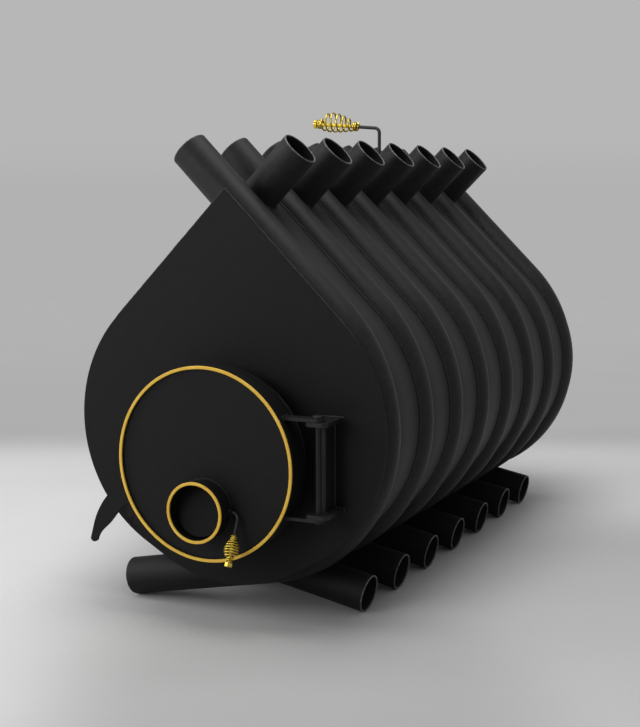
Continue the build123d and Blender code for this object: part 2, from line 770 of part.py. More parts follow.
shut_angle = hook_angle + latch_turn
shut_x = pivot_x + hook_length * cosine(shut_angle)
keeper_x = shut_x + keeper_width / 2 - hook_half_width
keeper_top = pivot_z - hook_length - hook_half_width - keeper_slack
lip_back = lever_front + keeper_slack
with BuildPart() as latch_keeper:
    with BuildSketch(depth(0)):
        with Locations((keeper_x, keeper_top - keeper_t / 2)):
            Rectangle(keeper_width, keeper_t)
    extrude(amount=lip_back + keeper_t)
    with BuildSketch(depth(-lip_back)):
        with Locations((keeper_x, keeper_top + keeper_lip / 2)):
            Rectangle(keeper_width, keeper_lip)
    extrude(amount=keeper_t)
pieces["latch_keeper"] = latch_keeper.part

os.makedirs("parts", exist_ok=True)
for name, solid in pieces.items():
    solid.label = name
    export_step(solid, f"parts/{name}.step")
print(len(pieces), "pieces, front plate's face at Y", round(face_y, 3), "tube bend height", round(bend_z, 3))
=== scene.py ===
import math
import bpy
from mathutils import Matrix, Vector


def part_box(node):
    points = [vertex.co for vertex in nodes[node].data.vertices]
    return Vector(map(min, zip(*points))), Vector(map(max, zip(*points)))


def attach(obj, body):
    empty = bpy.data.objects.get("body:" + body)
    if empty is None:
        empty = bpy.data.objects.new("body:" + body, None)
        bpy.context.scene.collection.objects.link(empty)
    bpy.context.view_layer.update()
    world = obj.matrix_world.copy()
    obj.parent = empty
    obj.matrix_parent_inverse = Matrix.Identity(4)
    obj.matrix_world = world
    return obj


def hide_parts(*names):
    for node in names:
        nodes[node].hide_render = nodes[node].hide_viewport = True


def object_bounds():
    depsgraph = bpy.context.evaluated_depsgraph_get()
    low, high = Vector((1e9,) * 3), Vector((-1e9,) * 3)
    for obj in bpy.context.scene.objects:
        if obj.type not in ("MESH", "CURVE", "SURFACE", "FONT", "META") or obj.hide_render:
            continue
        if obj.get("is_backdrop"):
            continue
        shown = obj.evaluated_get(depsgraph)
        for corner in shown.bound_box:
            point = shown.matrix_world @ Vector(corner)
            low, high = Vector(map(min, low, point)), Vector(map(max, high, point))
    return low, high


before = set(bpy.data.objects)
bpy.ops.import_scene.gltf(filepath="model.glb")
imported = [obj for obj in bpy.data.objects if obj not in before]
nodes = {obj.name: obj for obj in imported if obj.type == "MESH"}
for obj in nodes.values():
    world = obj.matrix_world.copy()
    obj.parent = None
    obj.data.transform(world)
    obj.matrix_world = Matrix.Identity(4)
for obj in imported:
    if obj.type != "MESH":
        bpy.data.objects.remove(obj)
scene = bpy.context.scene
scene.view_settings.view_transform = "Standard"
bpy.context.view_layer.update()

# Camera. It stands in front of the stove and a little to its right, at the height of
# the tube mouths, and looks down on the door and along the bank of tubes.
eye = bpy.data.objects.new("eye", bpy.data.cameras.new("eye"))
eye.location = (1.2580, -2.8191, 0.8219)
eye.rotation_euler = [math.radians(turn) for turn in (81.298, 0.234, 25.917)]
eye.data.lens = 65.77
eye.data.shift_x = 0.0079
eye.data.shift_y = 0.0441
scene.collection.objects.link(eye)
scene.camera = eye


# Floor and light. A pale matt floor with painted light and shade in soft tones, a pale
# wall and room all round, and large soft lamps above the stove, to its left and before the door.
class Finish:
    """One output in a tree of nodes. Signs between outputs and numbers add Math nodes."""

    def __init__(self, tree, socket=None):
        self.tree = tree
        self.socket = socket

    def node(self, kind, sockets, out=0, **settings):
        """A node of this kind with its settings, then its sockets' values or links."""
        made = self.tree.nodes.new(kind)
        for word, value in settings.items():
            setattr(made, word, value)
        for key, value in sockets.items():
            if isinstance(value, Finish):
                self.tree.links.new(value.socket, made.inputs[key])
            else:
                made.inputs[key].default_value = value
        return type(self)(self.tree, made.outputs[out] if made.outputs else None)

    def math(self, operation, first, second=0.0, third=0.0):
        return self.node("ShaderNodeMath", {0: first, 1: second, 2: third}, operation=operation)

    def __add__(self, other):
        return self.math("ADD", self, other)

    def __sub__(self, other):
        return self.math("SUBTRACT", self, other)

    def __rsub__(self, other):
        return self.math("SUBTRACT", other, self)

    def __mul__(self, other):
        return self.math("MULTIPLY", self, other)

    def __truediv__(self, other):
        return self.math("DIVIDE", self, other)

    def __rtruediv__(self, other):
        return self.math("DIVIDE", other, self)

    __radd__ = __add__
    __rmul__ = __mul__

    def step(self, low, high):
        """0 below low and 1 above high, with a smooth rise between."""
        return self.node("ShaderNodeMapRange", {0: self, 1: low, 2: high}, interpolation_type="SMOOTHSTEP")

    def part(self, axis):
        """One of the three numbers of a vector."""
        return self.node("ShaderNodeSeparateXYZ", {0: self}, out=axis)

    def sibling(self, out):
        """Another output of the same node."""
        return type(self)(self.tree, self.socket.node.outputs[out])

    def grain(self, scale, detail=2.0, rough=0.5):
        """Noise of this scale, per metre, over these coordinates, about 0.5."""
        sockets = {"Vector": self, "Scale": scale, "Detail": detail, "Roughness": rough}
        return self.node("ShaderNodeTexNoise", sockets)

    def mix(self, first, second):
        """Colour first where this is 0 and second where it is 1."""
        first, second = [(*tone, 1) if isinstance(tone, tuple) else tone for tone in (first, second)]
        return self.node("ShaderNodeMix", {0: self, 6: first, 7: second}, out=2, data_type="RGBA")

    def shaded(self, colour):
        """This colour times this number."""
        return self.node("ShaderNodeMix", {0: 1.0, 6: colour, 7: self}, out=2, data_type="RGBA",
                         blend_type="MULTIPLY")


def grey(tone):
    return (tone, tone, tone)


def start_finish(name):
    """A new material's tree with nothing in it: its start, its coordinates and itself."""
    material = bpy.data.materials.new(name)
    material.use_nodes = True
    material.node_tree.nodes.clear()
    start = Finish(material.node_tree)
    place = start.node("ShaderNodeTexCoord", {}, out=3)
    return start, place, material


def end_finish(start, colour, rough, height=None, depth=0.0001, **fixed):
    """The surface: a shader with these colours and roughness, and bumps of this height."""
    sockets = {"Base Color": colour, "Roughness": rough}
    sockets.update({word.replace("_", " "): value for word, value in fixed.items()})
    if height is not None:
        bumps = {"Height": height, "Distance": depth, "Strength": 1.0}
        sockets["Normal"] = start.node("ShaderNodeBump", bumps)
    shader = start.node("ShaderNodeBsdfPrincipled", sockets)
    start.node("ShaderNodeOutputMaterial", {"Surface": shader})
    return shader


def seen_rays(start):
    """1 for rays that see the background, also in gloss and glass, and 0 for its light."""
    rays = start.node("ShaderNodeLightPath", {})
    glossy, through = rays.sibling(3), rays.sibling(6)
    return start.math("MINIMUM", rays + glossy + through, 1.0)


def plain_mesh(name, points, edges=(), faces=()):
    """A new object at the origin with this mesh."""
    mesh = bpy.data.meshes.new(name)
    mesh.from_pydata(points, edges, faces)
    made = bpy.data.objects.new(name, mesh)
    scene.collection.objects.link(made)
    return made


# "away" grows from the door's side of the floor to the far wall and "aside" to the right
# of it, both in metres from the stove's middle and in the floor's own directions.
along_floor, across_floor = 0.899, 0.437
floor_painted_light_left, floor_right, floor_painted_shadow_front, floor_painted_light_behind, floor_far = map(grey, (0.69, 0.57, 0.45, 0.8, 0.55))
wall_low, wall_high = grey(0.425), grey(0.445)
start, place, floor_finish = start_finish("pale_floor")
away = place.part(1) * along_floor - place.part(0) * across_floor
aside = place.part(0) * along_floor + place.part(1) * across_floor
cloud = place.grain(1.4, 5.0, 0.6) - 0.5
# Painted light and shade on the floor: lighter to the left as if lit from there, a painted shadow before
# the door, painted light behind the stove on the right where its shadow falls, and darker far off towards
# the wall.
shade = aside.step(-0.75, -0.35).mix(floor_painted_light_left, floor_right)
painted_shadow_before_door = (1 - away.step(-0.9, -0.55)) * aside.step(-0.65, -0.35) * (1 - aside.step(0.1, 0.4))
shade = painted_shadow_before_door.mix(shade, floor_painted_shadow_front)
shade = (away.step(-0.1, 0.45) * aside.step(0.1, 0.5)).mix(shade, floor_painted_light_behind)
shade = away.step(0.95, 1.55).mix(shade, floor_far)
shade = (cloud * 0.16 + 1.0).shaded(shade)
matt = end_finish(start, shade, 0.85, place.grain(90.0, 4.0), 0.0005)
wall_tone = (cloud * 0.06 + 1.0).shaded(away.step(1.2, 5.0).mix(wall_low, wall_high))
wall = start.node("ShaderNodeEmission", {"Color": wall_tone})
both = start.node("ShaderNodeMixShader", {0: away.step(1.05, 1.6) * seen_rays(start), 1: matt, 2: wall})
start.tree.links.new(both.socket, start.tree.nodes["Material Output"].inputs[0])
floor_radius = 9.0
floor_corners = 96
corner_turns = [2 * math.pi * k / floor_corners for k in range(floor_corners)]
rim = [(floor_radius * math.cos(turn), floor_radius * math.sin(turn), 0) for turn in corner_turns]
floor = plain_mesh("floor", rim, faces=[tuple(range(floor_corners))])
floor.data.materials.append(floor_finish)
floor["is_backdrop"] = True

room_low, room_middle, room_high = grey(0.445), grey(0.472), grey(0.45)
room_light = 0.5
room = bpy.data.worlds.new("room")
room.use_nodes = True
room.node_tree.nodes.clear()
air = Finish(room.node_tree)
up = air.node("ShaderNodeTexCoord", {}).part(2)
tone = up.step(0.0, 0.04).mix(room_low, room_middle)
tone = up.step(0.14, 0.22).mix(tone, room_high)
shown = air.node("ShaderNodeBackground", {"Color": tone})
lit = air.node("ShaderNodeBackground", {"Color": (0.5, 0.5, 0.5, 1), "Strength": room_light})
both = air.node("ShaderNodeMixShader", {0: seen_rays(air), 1: lit, 2: shown})
air.node("ShaderNodeOutputWorld", {"Surface": both})
scene.world = room

for name, at, towards, size, power in (
        ("lamp_above", (0.1, -0.25, 3.2), (0.0, 0.0, 0.5), 2.2, 62.0),
        ("lamp_left", (-2.8, -1.4, 1.5), (0.0, -0.4, 0.3), 2.0, 42.0),
        ("lamp_front", (-1.5, -3.9, 1.7), (-0.3, -1.2, 0.0), 2.0, 40.0)):
    lamp = bpy.data.objects.new(name, bpy.data.lights.new(name, "AREA"))
    lamp.data.size = size
    lamp.data.energy = power
    lamp.location = at
    aim = [b - a for a, b in zip(at, towards)]
    down = math.atan2(-aim[2], math.hypot(aim[0], aim[1]))
    lamp.rotation_euler = (math.pi / 2 - down, 0.0, math.atan2(aim[1], aim[0]) - math.pi / 2)
    scene.collection.objects.link(lamp)

# Air tubes. Fifteen steel tubes of 76 mm, each bent from one length round the fire and
# sprayed with matt black stove paint; the sawn mouths wear to a paler grey.
tube_radius = 0.038
tube_wall = 0.003
tube_pitch = 0.1716
slope = math.radians(45.0)
tail = math.radians(11.2)
mouth_top = (0.09744, 0.9049)
mouth_low = (0.2439, 0.03728)
right_count = 8
left_count = 7
# The near-black that the painted shade on the tube tails and in the strip creases darkens to.
painted_shade_black = (0.0022, 0.0022, 0.0023)
bare_edge = grey(0.11)


def clothe(material, *names):
    """Gives this material to CAD nodes."""
    for name in names:
        nodes[name].data.materials.clear()
        nodes[name].data.materials.append(material)


def stove_paint(name, dark, pale, rough):
    """Matt stove paint: a fine orange-peel skin over mottled black, nearly without gloss."""
    start, place, material = start_finish(name)
    cloud = place.grain(5.0, 4.0, 0.55).step(0.3, 0.7)
    mottle = place.grain(85.0, 4.0, 0.65).step(0.34, 0.66)
    peel = place.grain(420.0, 2.0, 0.6)
    colour = (cloud * 0.4 + mottle * 0.6).mix(dark, pale)
    return start, place, material, colour, cloud * 0.06 + peel * 0.08 + (rough - 0.07), peel


start, place, tube_paint, colour, rough, peel = stove_paint(
    "tube_paint", (0.0046, 0.0046, 0.0048), (0.0128, 0.0128, 0.0132), 0.52)
# Painted shade: the tails are darkened towards the floor, and their paint is rougher there.
painted_shade_low = (1 - (place.part(2) + place.grain(20.0, 3.0) * 0.03).step(0.1, 0.24)) * 0.75
colour = painted_shade_low.mix(colour, painted_shade_black)
rough = painted_shade_low * 0.12 + rough
across = start.math("ABSOLUTE", place.part(0))
to_top = across * math.cos(slope) + place.part(2) * math.sin(slope)
to_low = across * math.cos(tail) - place.part(2) * math.sin(tail)
top_line = mouth_top[0] * math.cos(slope) + mouth_top[1] * math.sin(slope)
low_line = mouth_low[0] * math.cos(tail) - mouth_low[1] * math.sin(tail)
wear_from, wear_to = 0.0011, 0.0002
worn = to_top.step(top_line - wear_from, top_line - wear_to)
near_low = 1 - place.part(2).step(0.09, 0.1)
worn_low = to_low.step(low_line - wear_from, low_line - wear_to) * near_low
patchy = place.grain(160.0, 3.0).step(0.25, 0.6)
worn = start.math("MAXIMUM", worn, worn_low) * (patchy * 0.6 + 0.4)
end_finish(start, worn.mix(colour, bare_edge), rough, peel, 0.00012, Specular_IOR_Level=0.26)
for word, count in (("right", right_count), ("left", left_count)):
    clothe(tube_paint, *[f"tube_{word}_{number}" for number in range(1, count + 1)])


# Mouth edges. Each tube is sawn square and its edge broken with a grinding disc, so a
# thin rounded rim, rubbed to a paler grey, runs round all thirty mouths.
class Bead(Finish):
    """One output in a tree of Geometry Nodes."""

    def repeat(self, shape, count, first, pitch):
        """Shape at count points, pitch apart along Y from first."""
        start = self.node("ShaderNodeCombineXYZ", {1: first})
        stride = self.node("ShaderNodeCombineXYZ", {1: pitch})
        row = {"Count": count, "Start Location": start, "Offset": stride}
        points = self.node("GeometryNodeMeshLine", row)
        return self.node("GeometryNodeInstanceOnPoints", {"Points": points, "Instance": shape})


def start_tree(name, **inputs):
    """A Geometry Nodes tree with these named inputs, and its inputs as outputs to use."""
    tree = bpy.data.node_groups.new(name, "GeometryNodeTree")
    tree.interface.new_socket("Geometry", in_out="INPUT", socket_type="NodeSocketGeometry")
    kinds = {float: "NodeSocketFloat", int: "NodeSocketInt"}
    for word, value in inputs.items():
        made = tree.interface.new_socket(word, in_out="INPUT", socket_type=kinds[type(value)])
        made.default_value = value
    tree.interface.new_socket("Geometry", in_out="OUTPUT", socket_type="NodeSocketGeometry")
    start = tree.nodes.new("NodeGroupInput")
    return Bead(tree), [Bead(tree, start.outputs[k]) for k in range(len(inputs) + 1)]


def end_tree(bead, shape, material):
    """Realizes the instances, sets the material and closes the tree."""
    whole = bead.node("GeometryNodeRealizeInstances", {0: shape})
    painted = bead.node("GeometryNodeSetMaterial", {"Geometry": whole, "Material": material})
    bead.node("NodeGroupOutput", {0: painted})
    return bead.tree


def grow(name, tree, base, body, finish_slot, **inputs):
    """A plain mesh made by the tree from base, riding on the body."""
    raw = base if base else plain_mesh(name + "_start", [(0, 0, 0)])
    modifier = raw.modifiers.new("grow", "NODES")
    modifier.node_group = tree
    items = [item for item in tree.interface.items_tree if item.in_out == "INPUT"]
    sockets = {item.name: item.identifier for item in items}
    for word, value in inputs.items():
        modifier[sockets[word]] = value
    bpy.context.view_layer.update()
    depsgraph = bpy.context.evaluated_depsgraph_get()
    mesh = bpy.data.meshes.new_from_object(raw.evaluated_get(depsgraph))
    bpy.data.objects.remove(raw)
    mesh.name = name
    made = bpy.data.objects.new(name, mesh)
    scene.collection.objects.link(made)
    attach(made, body)
    return made


def middle(name):
    """The middle of a CAD node's box."""
    low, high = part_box(name)
    return [(a + b) / 2 for a, b in zip(low, high)]


start, place, rim_paint = start_finish("worn_rim")
rubbed = place.grain(140.0, 3.0).step(0.3, 0.62)
rubbed_tone = rubbed.mix(grey(0.028), grey(0.13))
end_finish(start, rubbed_tone, 0.42 + rubbed * 0.1, place.grain(700.0), 0.0001)

bead, (base, ring_r, wire_r, at_x, at_z, turn, count, first, pitch) = start_tree(
    "mouth_rings", ring_radius=tube_radius - tube_wall / 2, wire_radius=0.0016, at_x=0.0, at_z=0.0,
    turn=0.0, count=8, first=0.0, pitch=tube_pitch)
ring = bead.node("GeometryNodeCurvePrimitiveCircle", {"Resolution": 72, "Radius": ring_r})
section = bead.node("GeometryNodeCurvePrimitiveCircle", {"Resolution": 8, "Radius": wire_r})
solid = bead.node("GeometryNodeCurveToMesh", {"Curve": ring, "Profile Curve": section})
spot = bead.node("ShaderNodeCombineXYZ", {0: at_x, 2: at_z})
lean = bead.node("ShaderNodeCombineXYZ", {1: turn})
solid = bead.node("GeometryNodeTransform", {"Geometry": solid, "Translation": spot, "Rotation": lean})
mouth_rings = end_tree(bead, bead.repeat(solid, count, first, pitch), rim_paint)

first_right = middle("tube_right_1")[1]
first_left = middle("tube_left_1")[1]
tube_rows = (("right", 1, right_count, first_right), ("left", -1, left_count, first_left))
for word, side, count, first in tube_rows:
    for level, mouth, lean in (("top", mouth_top, -slope), ("low", mouth_low, tail)):
        grow(f"mouth_rims_{level}_{word}", mouth_rings, None, "stove", "tube_paint", at_x=-side * mouth[0],
             at_z=mouth[1], turn=-side * (math.pi / 2 + lean), count=count, first=first)

# Wall strips. Sheet steel 3 mm thick, rolled to the drop shape and welded in between the
# tubes of each side, so that tubes and strips together are the firebox's wall. Painted
# shade darkens and dulls each strip near the tubes beside it, in the creases.
for word, count, first in (("right", right_count - 1, first_right), ("left", left_count + 1, first_left)):
    start, place, strip_paint, colour, rough, peel = stove_paint(
        f"strip_paint_{word}", (0.005, 0.005, 0.0053), (0.0145, 0.0145, 0.015), 0.55)
    along = start.math("FLOORED_MODULO", place.part(1) - first, tube_pitch)
    from_tube = tube_pitch / 2 - start.math("ABSOLUTE", along - tube_pitch / 2)
    # Painted shade: darker and rougher towards the tube on either side of the strip.
    painted_crease_shade = (1 - (from_tube + place.grain(45.0, 3.0) * 0.02).step(0.04, 0.092)) * 0.8
    waves = peel + place.grain(14.0, 2.0) * 2.0
    end_finish(start, painted_crease_shade.mix(colour, painted_shade_black), painted_crease_shade * 0.12 + rough, waves, 0.00014,
               Specular_IOR_Level=0.3)
    clothe(strip_paint, *[f"strip_{word}_{number}" for number in range(1, count + 1)])

# Long welds. Each tube is welded to the strips beside it all round where it stands in the
# wall: down one side of the tube and back up the other, in short overlapping ripples.
# Where the flue rod leaves the ridge, the weld beside it is ground flat to let it turn.
bend_x = 0.3043
bend_z = 0.37401
upper_bend = 0.3118
lower_bend = 0.2778
shell_half = bend_x + 0.023
shell_line = 0.58546
shell_upper = (shell_line - (shell_half + bend_z) * math.sin(slope)) / (1 - math.sin(slope))
shell_lower = 0.2771
shell_bottom = 0.2826
foot_slope = math.radians(30.0)
foot_centre_z = 0.35138


def arc_points(centre_x, centre_z, radius, first, last, count):
    """Points on an arc in the XZ plane; angles from +X towards +Z, in radians."""
    turns = [first + (last - first) * k / count for k in range(count + 1)]
    return [(centre_x + radius * math.cos(turn), centre_z + radius * math.sin(turn)) for turn in turns]


def line_points(first, last, count):
    """Points on a straight line, with both its ends."""
    return [tuple(a + (b - a) * k / count for a, b in zip(first, last)) for k in range(count + 1)]


def drop_outline(out):
    """The closed drop shape of the strips, moved out by this much, from the ridge clockwise."""
    upper_x, lower_x = shell_half - shell_upper, shell_half - shell_lower
    foot = foot_slope - math.pi / 2
    ridge = (0.0, (shell_line + out) / math.cos(slope))
    upper = arc_points(upper_x, bend_z, shell_upper + out, slope, 0.0, 24)
    lower = arc_points(lower_x, bend_z, shell_lower + out, 0.0, foot, 30)
    bottom = arc_points(0.0, foot_centre_z, shell_bottom + out, foot, -math.pi / 2, 16)
    roof = line_points(ridge, upper[0], 60)
    side = line_points(lower[-1], bottom[0], 4)
    half = roof[:-1] + upper[:-1] + lower[:-1] + side[:-1] + bottom
    return half + [(-x, z) for x, z in reversed(half[1:-1])]


def tube_line():
    """Centre line of a tube that bows out to the right, from its top mouth to its low one."""
    top, low = (-mouth_top[0], mouth_top[1]), (-mouth_low[0], mouth_low[1])
    upper = arc_points(bend_x - upper_bend, bend_z, upper_bend, slope, 0.0, 60)
    lower = arc_points(bend_x - lower_bend, bend_z, lower_bend, 0.0, tail - math.pi / 2, 80)
    return line_points(top, upper[0], 80)[:-1] + upper[:-1] + lower[:-1] + line_points(lower[-1], low, 60)


def distance_to_line(point, line):
    """How far this point is from the nearest run of a line of points."""
    best = math.inf
    for (ax, az), (bx, bz) in zip(line, line[1:]):
        run_x, run_z, to_x, to_z = bx - ax, bz - az, point[0] - ax, point[1] - az
        part = (to_x * run_x + to_z * run_z) / ((run_x ** 2 + run_z ** 2) or 1e-12)
        part = min(max(part, 0.0), 1.0)
        best = min(best, math.hypot(to_x - part * run_x, to_z - part * run_z))
    return best


weld_reach = tube_radius + 0.0008
outline = drop_outline(0.0004)
centre_line = tube_line()
apart = [distance_to_line(point, centre_line) for point in outline]
on_tube = [gap < weld_reach - 0.0002 for gap in apart]
start_at = next(k for k in range(len(outline)) if on_tube[k] and not on_tube[k - 1])
order = [(start_at + k) % len(outline) for k in range(len(outline))]
order = order[:next(k for k, spot in enumerate(order) if not on_tube[spot])]
front_side = [(outline[k][0], -math.sqrt(weld_reach ** 2 - apart[k] ** 2), outline[k][1]) for k in order]
weld_loop = front_side + [(x, -y, z) for x, y, z in reversed(front_side)]

start, place, weld_paint = start_finish("painted_weld")
rough_cloud = place.grain(60.0, 4.0, 0.6)
colour = rough_cloud.step(0.35, 0.7).mix(grey(0.006), (0.014, 0.014, 0.0145))
end_finish(start, colour, 0.45 + rough_cloud * 0.2, place.grain(420.0, 3.0, 0.7), 0.0006,
           Specular_IOR_Level=0.3)

rod_room = 0.0046
rod_zone = 0.008
bead, (base, bead_r, lump, seed, count, first, pitch, rod_x, rod_y) = start_tree(
    "weld_loops", bead_radius=0.003, lump=0.0045, seed=3.0, count=1, first=0.0, pitch=tube_pitch,
    rod_x=0.0, rod_y=9.0)
curve = bead.node("GeometryNodeMeshToCurve", {"Mesh": base})
spacing = {"Curve": curve, "Length": bead_r * 0.7}
curve = bead.node("GeometryNodeResampleCurve", spacing, mode="LENGTH")
section = bead.node("GeometryNodeCurvePrimitiveCircle", {"Resolution": 7, "Radius": bead_r})
solid = bead.node("GeometryNodeCurveToMesh", {"Curve": curve, "Profile Curve": section})
many = bead.node("GeometryNodeRealizeInstances", {0: bead.repeat(solid, count, first, pitch)})
where = bead.node("GeometryNodeInputPosition", {})
ripple = {"Vector": where, "Scale": 130.0, "Detail": 2.0, "W": seed}
lumps = bead.node("ShaderNodeTexNoise", ripple, out=1, noise_dimensions="4D")
shift = bead.node("ShaderNodeVectorMath", {0: lumps, 1: (0.5, 0.5, 0.5)}, operation="SUBTRACT")
shift = bead.node("ShaderNodeVectorMath", {0: shift, "Scale": lump}, operation="SCALE")
many = bead.node("GeometryNodeSetPosition", {"Geometry": many, "Offset": shift})
beside_rod = where.part(1) - rod_y
off_rod = bead.math("ABSOLUTE", where.part(0) - rod_x)
ground = bead.math("MAXIMUM", rod_room - bead.math("ABSOLUTE", beside_rod), 0.0)
ground = bead.math("SIGN", beside_rod) * ground * bead.math("LESS_THAN", off_rod, rod_zone)
ground = bead.node("ShaderNodeCombineXYZ", {1: ground})
many = bead.node("GeometryNodeSetPosition", {"Geometry": many, "Offset": ground})
weld_loops = end_tree(bead, many, weld_paint)


def weld(name, loop, body, finish_slot, **inputs):
    """A weld bead along this closed loop of points."""
    path = plain_mesh(name + "_path", loop, [(k, (k + 1) % len(loop)) for k in range(len(loop))])
    return grow(name, weld_loops, path, body, finish_slot, **inputs)


flue_rod_x = -0.012
flue_rod_y = middle("flue_damper_spindle")[1]
for word, side, count, first in tube_rows:
    loop = [(side * x, y, z) for x, y, z in weld_loop]
    weld(f"long_welds_{word}", loop, "stove", "tube_paint", count=count, first=first, seed=3.0 + side,
         bead_radius=0.0024, lump=0.0024, rod_x=flue_rod_x, rod_y=flue_rod_y)

# End plates. Two drop-shaped plates of 4 mm steel close the ends: the front one has the
# round door opening, the rear one the hole for the smoke pipe. Each is welded all round.
face_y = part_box("front_plate")[0][1]
rear_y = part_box("rear_plate")[1][1]
plate_thick = 0.004
bead_seat = 0.0006
start, place, plate_paint, colour, rough, peel = stove_paint(
    "plate_paint", (0.0045, 0.0045, 0.0048), (0.0068, 0.0068, 0.0071), 0.58)
end_finish(start, colour, rough, peel + place.grain(11.0, 2.0) * 3.0, 0.00013, Specular_IOR_Level=0.16)
clothe(plate_paint, "front_plate", "rear_plate")
weld("edge_welds", [(x, 0.0, z) for x, z in drop_outline(0.0002)], "stove", "body_paint", count=2,
     first=face_y + plate_thick + bead_seat, pitch=rear_y - face_y - 2 * (plate_thick + bead_seat),
     bead_radius=0.0026, lump=0.002, seed=8.0)

# Baffle. A flat steel plate over the fire that sends the flames to the front; it is left
# bare inside the firebox, with blue-grey mill scale on it.
start, place, mill_steel = start_finish("mill_steel")
scale = place.grain(7.0, 5.0, 0.6).step(0.35, 0.65)
rust = place.grain(38.0, 5.0, 0.65).step(0.6, 0.74)
colour = scale.mix((0.018, 0.019, 0.021), (0.034, 0.034, 0.036))
colour = (rust * 0.55).mix(colour, (0.05, 0.022, 0.011))
rough = scale * 0.1 + rust * 0.2 + 0.42
end_finish(start, colour, rough, place.grain(260.0, 3.0), 0.00015, Metallic=0.35)
clothe(mill_steel, "baffle_plate")

# Flue duct. A 180 mm duct of bare steel under the ridge that the gases enter at the
# front; it is rolled from sheet and welded to the rear plate.
clothe(mill_steel, "flue_duct")


# Flue spigot. The duct's outer end, 100 mm of 180 mm pipe that the smoke pipe goes over,
# sprayed like the plate behind it and welded to it.
def ring_points(centre, radius, count=72):
    """A closed ring of points round this centre, in a plane across the stove's length."""
    turns = [2 * math.pi * k / count for k in range(count)]
    x, y, z = centre
    return [(x + radius * math.cos(turn), y, z + radius * math.sin(turn)) for turn in turns]


spigot_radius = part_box("flue_spigot")[1][0]
spigot_ring = ring_points((0.0, rear_y + bead_seat, middle("flue_spigot")[2]), spigot_radius + bead_seat)
clothe(plate_paint, "flue_spigot")
weld("spigot_weld", spigot_ring, "stove", "body_paint", bead_radius=0.003, lump=0.003, seed=11.0)

# Flue rod guide. A steel block welded in the ridge between two tubes and bored for the
# rod, sprayed with the rest of the stove.
start, place, small_paint, colour, rough, peel = stove_paint(
    "small_paint", (0.0075, 0.0075, 0.008), (0.0115, 0.0115, 0.012), 0.48)
end_finish(start, colour, rough, peel, 0.0001, Specular_IOR_Level=0.3)
clothe(small_paint, "flue_guide")

# Flue damper. A disc in the duct on an upright 8 mm rod, which leaves the ridge and bends
# over into a handle with a wound wire grip; rod and grip are brass plated from there out.
clothe(mill_steel, "flue_damper_disc")
brass_pale = (0.74, 0.57, 0.10)
brass_deep = (0.46, 0.32, 0.03)
rod_black = (0.007, 0.007, 0.0073)
plating_edge = 0.0004


def brass_finish(name, plated=None):
    """Bright brass plate, deeper in patches; where plated is 0 it is black-coated rod."""
    start, place, material = start_finish(name)
    patch = place.grain(90.0, 4.0, 0.6).step(0.3, 0.7)
    brass = patch.mix(brass_pale, brass_deep)
    rough = patch * 0.12 + 0.2
    metal = 1.0
    if plated:
        metal = plated(place)
        brass = metal.mix(rod_black, brass)
        rough = metal * -0.3 + rough + 0.3
    end_finish(start, brass, rough, place.grain(600.0), 0.00006, Metallic=metal)
    return material


def plated_before(axis, limit):
    """1 before this place along an axis and 0 past it."""
    return lambda place: 1 - place.part(axis).step(limit - plating_edge, limit + plating_edge)


flue_plating = plated_before(0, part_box("flue_damper_grip")[1][0] - 0.001)
clothe(brass_finish("plated_flue_rod", flue_plating), "flue_damper_spindle")

tight_turns = 2
turn_gap = 0.0006
turn_steps = 40
coil, (base, length, wire, tight, widest, open_turns, rise, lean, fullness,
       turn_x, turn_y, turn_z, at_x, at_y, at_z) = start_tree(
    "coil_grip", length=0.109, wire_radius=0.0022, tight_radius=0.0086, widest_radius=0.022,
    open_turns=6.0, rise=0.0068, lean=1.7, fullness=0.45, turn_x=0.0, turn_y=0.0, turn_z=0.0,
    at_x=0.0, at_y=0.0, at_z=0.0)
point_count = (open_turns + 2.0 * tight_turns) * turn_steps + 1.0
line = coil.node("GeometryNodeMeshLine", {"Count": point_count, "Offset": (0, 0, 0)})
turns = coil.node("GeometryNodeInputIndex", {}) / float(turn_steps)
inner = coil.math("MINIMUM", coil.math("MAXIMUM", turns - tight_turns, 0.0), open_turns)
tight_step = wire * 2.0 + turn_gap
open_length = length - wire * 2.0 - tight_step * (2.0 * tight_turns)
along = wire + (turns - inner) * tight_step + inner / open_turns * open_length
hump = coil.math("SINE", coil.math("POWER", inner / open_turns, lean) * math.pi)
swell = coil.math("POWER", coil.math("MAXIMUM", hump, 0.0), fullness)
radius = tight + swell * (widest - tight)
angle = turns * (2 * math.pi)
sideways = coil.math("COSINE", angle) * radius + rise * swell
spot = coil.node("ShaderNodeCombineXYZ", {0: sideways, 1: coil.math("SINE", angle) * radius, 2: along})
line = coil.node("GeometryNodeSetPosition", {"Geometry": line, "Position": spot})
curve = coil.node("GeometryNodeMeshToCurve", {"Mesh": line})
section = coil.node("GeometryNodeCurvePrimitiveCircle", {"Resolution": 14, "Radius": wire})
sweep = {"Curve": curve, "Profile Curve": section, "Fill Caps": True}
solid = coil.node("GeometryNodeCurveToMesh", sweep)
turned = coil.node("ShaderNodeCombineXYZ", {0: turn_x, 1: turn_y, 2: turn_z})
centre = coil.node("ShaderNodeCombineXYZ", {0: at_x, 1: at_y, 2: at_z})
solid = coil.node("GeometryNodeTransform", {"Geometry": solid, "Translation": centre, "Rotation": turned})
coil_grip = end_tree(coil, solid, brass_finish("bright_brass"))

flue_lean = math.radians(4.7)
flue_corner_z = 0.972
flue_grip_start = 0.054
flue_coil = grow("flue_coil_grip", coil_grip, None, "flue_damper", "grip_brass",
                 turn_y=flue_lean - math.pi / 2, at_x=flue_rod_x - flue_grip_start * math.cos(flue_lean),
                 at_y=flue_rod_y, at_z=flue_corner_z + flue_grip_start * math.sin(flue_lean))
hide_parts("flue_damper_grip")

